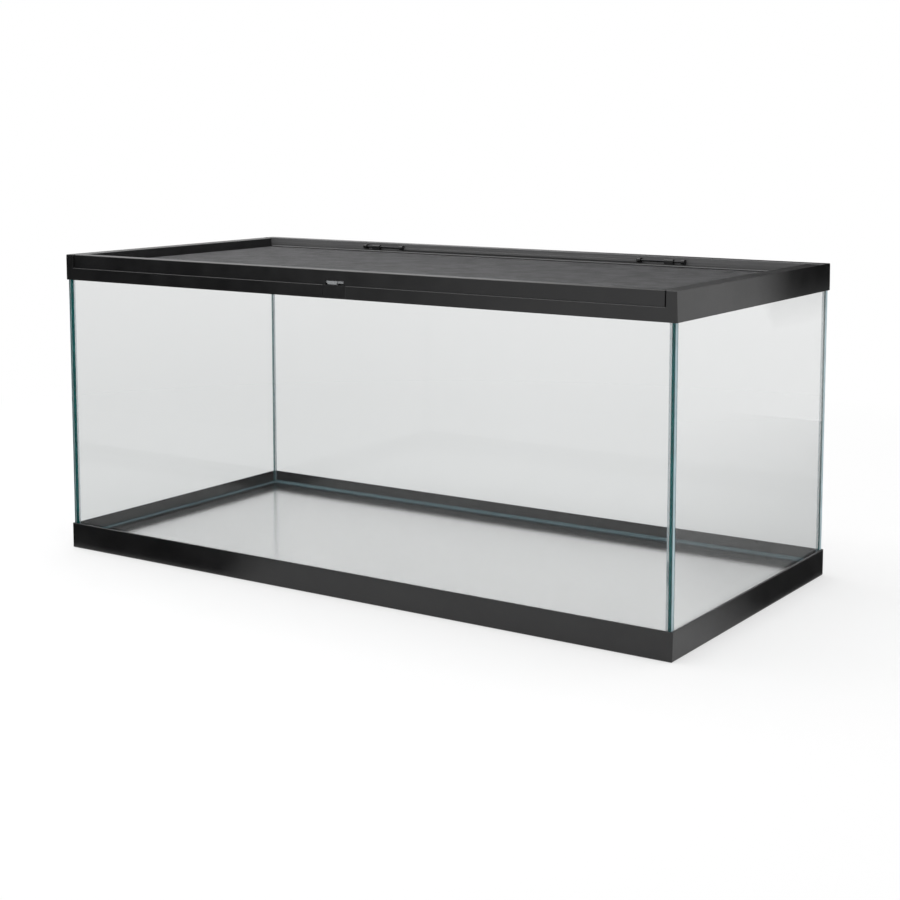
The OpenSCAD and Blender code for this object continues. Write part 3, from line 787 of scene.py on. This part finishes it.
class TERRARIUM_OT_stage(Operator):
    """Sets the floor, the light and the camera"""

    bl_idname = "terrarium.stage"
    bl_label = "Stage"

    def execute(self, context):
        """Builds the stage."""
        levels = context.scene.terrarium_stage
        scene = context.scene
        scene.view_settings.view_transform = "Standard"
        self.light_world(scene, levels.world_level)
        self.lay_floor(tuple(levels.floor_colour))
        self.hang_lamp(levels.lamp_power)
        self.hang_cards()
        self.set_camera(scene)
        return {"FINISHED"}

    def light_world(self, scene, level):
        """A plain world: white where it is seen or mirrored, and a soft grey light for the rest."""
        world = bpy.data.worlds.new("Studio")
        scene.world = world
        world.use_nodes = True
        tree = world.node_tree
        tree.nodes.clear()
        light = put(tree, "ShaderNodeBackground", (0, 0))
        light.inputs["Color"].default_value = (1, 1, 1, 1)
        light.inputs["Strength"].default_value = level
        seen = put(tree, "ShaderNodeBackground", (0, -200))
        seen.inputs["Color"].default_value = (1, 1, 1, 1)
        seen.inputs["Strength"].default_value = 1.0
        mix = put(tree, "ShaderNodeMixShader", (300, 0))
        end = put(tree, "ShaderNodeOutputWorld", (500, 0))
        tree.links.new(self.seen_ray(tree), mix.inputs["Fac"])
        tree.links.new(light.outputs[0], mix.inputs[1])
        tree.links.new(seen.outputs[0], mix.inputs[2])
        tree.links.new(mix.outputs[0], end.inputs["Surface"])

    def seen_ray(self, tree):
        """1 for a camera, glossy or transmission ray, and otherwise 0."""
        path = put(tree, "ShaderNodeLightPath", (-600, 0))
        first = put(tree, "ShaderNodeMath", (-400, 0), operation="MAXIMUM")
        second = put(tree, "ShaderNodeMath", (-200, 0), operation="MAXIMUM")
        tree.links.new(path.outputs["Is Camera Ray"], first.inputs[0])
        tree.links.new(path.outputs["Is Glossy Ray"], first.inputs[1])
        tree.links.new(first.outputs[0], second.inputs[0])
        tree.links.new(path.outputs["Is Transmission Ray"], second.inputs[1])
        return second.outputs[0]

    def lay_floor(self, tone):
        """A wide pale floor just under the tank, with faint cloudy paper grain.

        Where it is seen or mirrored it also glows, by half round the tank and wholly further out, so
        that it meets the white world without a line.
        """
        low = np.array([[-FLOOR_HALF, -FLOOR_HALF, FLOOR_LOW]])
        high = np.array([[FLOOR_HALF, FLOOR_HALF, FLOOR_TOP]])
        verts, faces = box_rows(low, high)
        material, tree, shader, end = new_material("Stage Paper")
        place = put(tree, "ShaderNodeTexCoord", (-900, 0))
        cloud = put(tree, "ShaderNodeTexNoise", (-700, 0), Scale=3.0, Detail=2.0)
        tree.links.new(place.outputs["Object"], cloud.inputs["Vector"])
        mix = put(tree, "ShaderNodeMix", (-400, 0), data_type="RGBA")
        mix.inputs["A"].default_value = (*tones(tone, 0.985), 1)
        mix.inputs["B"].default_value = (*tone, 1)
        tree.links.new(cloud.outputs["Fac"], mix.inputs["Factor"])
        tree.links.new(mix.outputs["Result"], shader.inputs["Base Color"])
        shader.inputs["Roughness"].default_value = 0.9
        shader.inputs["Specular IOR Level"].default_value = 0.1
        glow = put(tree, "ShaderNodeEmission", (0, -500))
        glow.inputs["Color"].default_value = (1, 1, 1, 1)
        blend = put(tree, "ShaderNodeMixShader", (350, 0))
        part = put(tree, "ShaderNodeMath", (150, 200), operation="MULTIPLY")
        tree.links.new(self.seen_ray(tree), part.inputs[0])
        reach = put(tree, "ShaderNodeVectorMath", (-700, -300), operation="LENGTH")
        tree.links.new(place.outputs["Object"], reach.inputs[0])
        fade = put(tree, "ShaderNodeMapRange", (-400, -300))
        fade.inputs["From Min"].default_value = 0.55
        fade.inputs["From Max"].default_value = 1.6
        fade.inputs["To Min"].default_value = 0.5
        tree.links.new(reach.outputs["Value"], fade.inputs["Value"])
        tree.links.new(fade.outputs["Result"], part.inputs[1])
        tree.links.new(part.outputs[0], blend.inputs["Fac"])
        tree.links.new(shader.outputs[0], blend.inputs[1])
        tree.links.new(glow.outputs[0], blend.inputs[2])
        tree.links.new(blend.outputs[0], end.inputs["Surface"])
        mesh_object("stage_floor", verts, faces, material)

    def hang_lamp(self, power):
        """One wide soft lamp over the tank."""
        lamp = bpy.data.lights.new("Softbox", "AREA")
        lamp.shape = "RECTANGLE"
        lamp.size, lamp.size_y = LAMP_SIZE
        lamp.energy = power
        thing = bpy.data.objects.new("Softbox", lamp)
        thing.location = LAMP_PLACE
        bpy.context.scene.collection.objects.link(thing)

    def hang_cards(self):
        """Dark cards that only the gloss of the object sees, as a studio hangs them round glass.

        Each is two flat strips between three pairs of corners. Point (u, v) of a strip lies at u on the
        way from one pair to the next, and at v from a pair's first corner to its second. The UV says
        how full the card is: clear at the first pair, its free edge, and full from the second on. Two
        cards are also clear along all their second corners, so that they end softly.
        """
        material, tree, shader, end = new_material("Dark Card")
        shader.inputs["Base Color"].default_value = CARD_BLACK
        shader.inputs["Roughness"].default_value = 0.9
        shader.inputs["Specular IOR Level"].default_value = 0.0
        place = put(tree, "ShaderNodeUVMap", (-700, 300))
        split = put(tree, "ShaderNodeSeparateXYZ", (-500, 300))
        clear = put(tree, "ShaderNodeBsdfTransparent", (0, 300))
        mix = put(tree, "ShaderNodeMixShader", (350, 0))
        tree.links.new(place.outputs["UV"], split.inputs[0])
        tree.links.new(split.outputs["X"], mix.inputs["Fac"])
        tree.links.new(clear.outputs[0], mix.inputs[1])
        tree.links.new(shader.outputs[0], mix.inputs[2])
        tree.links.new(mix.outputs[0], end.inputs["Surface"])
        # The upright card on the right starts just below the top trim, and its hem fades out below that.
        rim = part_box("top_trim")[0].z - 0.007
        hem, crest = rim - 0.045, 0.6
        # Lines on the floor that the cards follow: along the front, and along the right side.
        front, far = -0.225, -1.05
        beside, between, beyond, behind = 0.459, 0.58, 1.1, 1.30
        right = [(0.505, 0.115), (0.505, 0.165), (0.505, 1.20)]
        cards = {
            "card_front_low": [
                [(-0.14, front, 0), (-0.25, far, 0)],
                [(-0.21, front, 0), (-0.6, far, 0)],
                [(-4, front, 0), (-4, far, 0)],
            ],
            "card_front_high": upright([(-0.25, far), (-0.6, far), (-4, far)], 0, 1.3),
            "card_right_low": [
                [(beside, -0.13, 0), (between, -0.058, 0)],
                [(beside, 0.05, 0), (between, 0.154, 0)],
                [(beside, behind, 0), (between, behind, 0)],
            ],
            "card_right_far": [
                [(between, -0.058, 0), (beyond, 0.25, 0)],
                [(between, 0.154, 0), (beyond, 0.60, 0)],
                [(between, behind, 0), (beyond, behind, 0)],
            ],
            "card_right_high": upright(right, rim, crest),
            "card_right_hem": upright(right, rim, hem),
            "card_rear": upright([(-0.45, 0.75), (-0.05, 0.75), (0.45, 0.75)], 0, 0.9),
        }
        strips = np.array([[0, 1, 3, 2], [2, 3, 5, 4]])
        for name, pairs in cards.items():
            verts = np.array(pairs, dtype=float).reshape(6, 3)
            card = mesh_object(name, verts, strips, material)
            fade = np.array([0.0, 0.0, 1.0, 1.0, 1.0, 1.0])
            if name in ("card_right_far", "card_right_hem"):
                fade[1::2] = 0.0
            corners = np.zeros(len(card.data.loops), dtype=np.int32)
            card.data.loops.foreach_get("vertex_index", corners)
            layer = card.data.uv_layers.new(name="UVMap")
            layer.uv.foreach_set("vector", np.repeat(fade[corners], 2))
            card.visible_camera = False
            card.visible_diffuse = False
            card.visible_transmission = False
            card.visible_shadow = False

    def set_camera(self, scene):
        """The photograph's view, worked out from the corners of both trims."""
        camera = bpy.data.cameras.new("Camera")
        camera.lens = LENS
        camera.sensor_width = SENSOR
        camera.shift_y = SHIFT
        thing = bpy.data.objects.new("Camera", camera)
        thing.location = CAMERA_PLACE
        thing.rotation_euler = (math.radians(CAMERA_TILT), 0.0, math.radians(CAMERA_TURN))
        scene.collection.objects.link(thing)
        scene.camera = thing


class TERRARIUM_PT_panel(Panel):
    """Lists the terrarium's finishes"""

    bl_idname = "TERRARIUM_PT_panel"
    bl_label = "Terrarium"
    bl_space_type = "VIEW_3D"
    bl_region_type = "UI"
    bl_category = "Terrarium"

    def draw(self, context):
        """Draws the settings and the buttons."""
        scene = context.scene
        for settings in (scene.terrarium_tank, scene.terrarium_lid, scene.terrarium_stage):
            box = self.layout.box()
            for key in settings.__annotations__:
                box.prop(settings, key)
        for operator in OPERATORS:
            self.layout.operator(operator.bl_idname)


SETTINGS = (TERRARIUM_PG_tank, TERRARIUM_PG_lid, TERRARIUM_PG_stage)
OPERATORS = (
    TERRARIUM_OT_trims,
    TERRARIUM_OT_panes,
    TERRARIUM_OT_edges,
    TERRARIUM_OT_seams,
    TERRARIUM_OT_screen,
    TERRARIUM_OT_lock,
    TERRARIUM_OT_pins,
    TERRARIUM_OT_stage,
)
CLASSES = SETTINGS + OPERATORS + (TERRARIUM_PT_panel,)


def register():
    """Registers the classes and hangs the settings on the scene."""
    for one in CLASSES:
        bpy.utils.register_class(one)
    bpy.types.Scene.terrarium_tank = PointerProperty(type=TERRARIUM_PG_tank)
    bpy.types.Scene.terrarium_lid = PointerProperty(type=TERRARIUM_PG_lid)
    bpy.types.Scene.terrarium_stage = PointerProperty(type=TERRARIUM_PG_stage)


def unregister():
    """Takes the settings and the classes away again."""
    del bpy.types.Scene.terrarium_stage
    del bpy.types.Scene.terrarium_lid
    del bpy.types.Scene.terrarium_tank
    for one in reversed(CLASSES):
        bpy.utils.unregister_class(one)


def main():
    """Builds everything in order."""
    register()
    bpy.ops.terrarium.trims()
    bpy.ops.terrarium.panes()
    bpy.ops.terrarium.edges()
    bpy.ops.terrarium.seams()
    bpy.ops.terrarium.screen()
    bpy.ops.terrarium.lock()
    bpy.ops.terrarium.pins()
    bpy.ops.terrarium.stage()


if __name__ == "__main__":
    main()
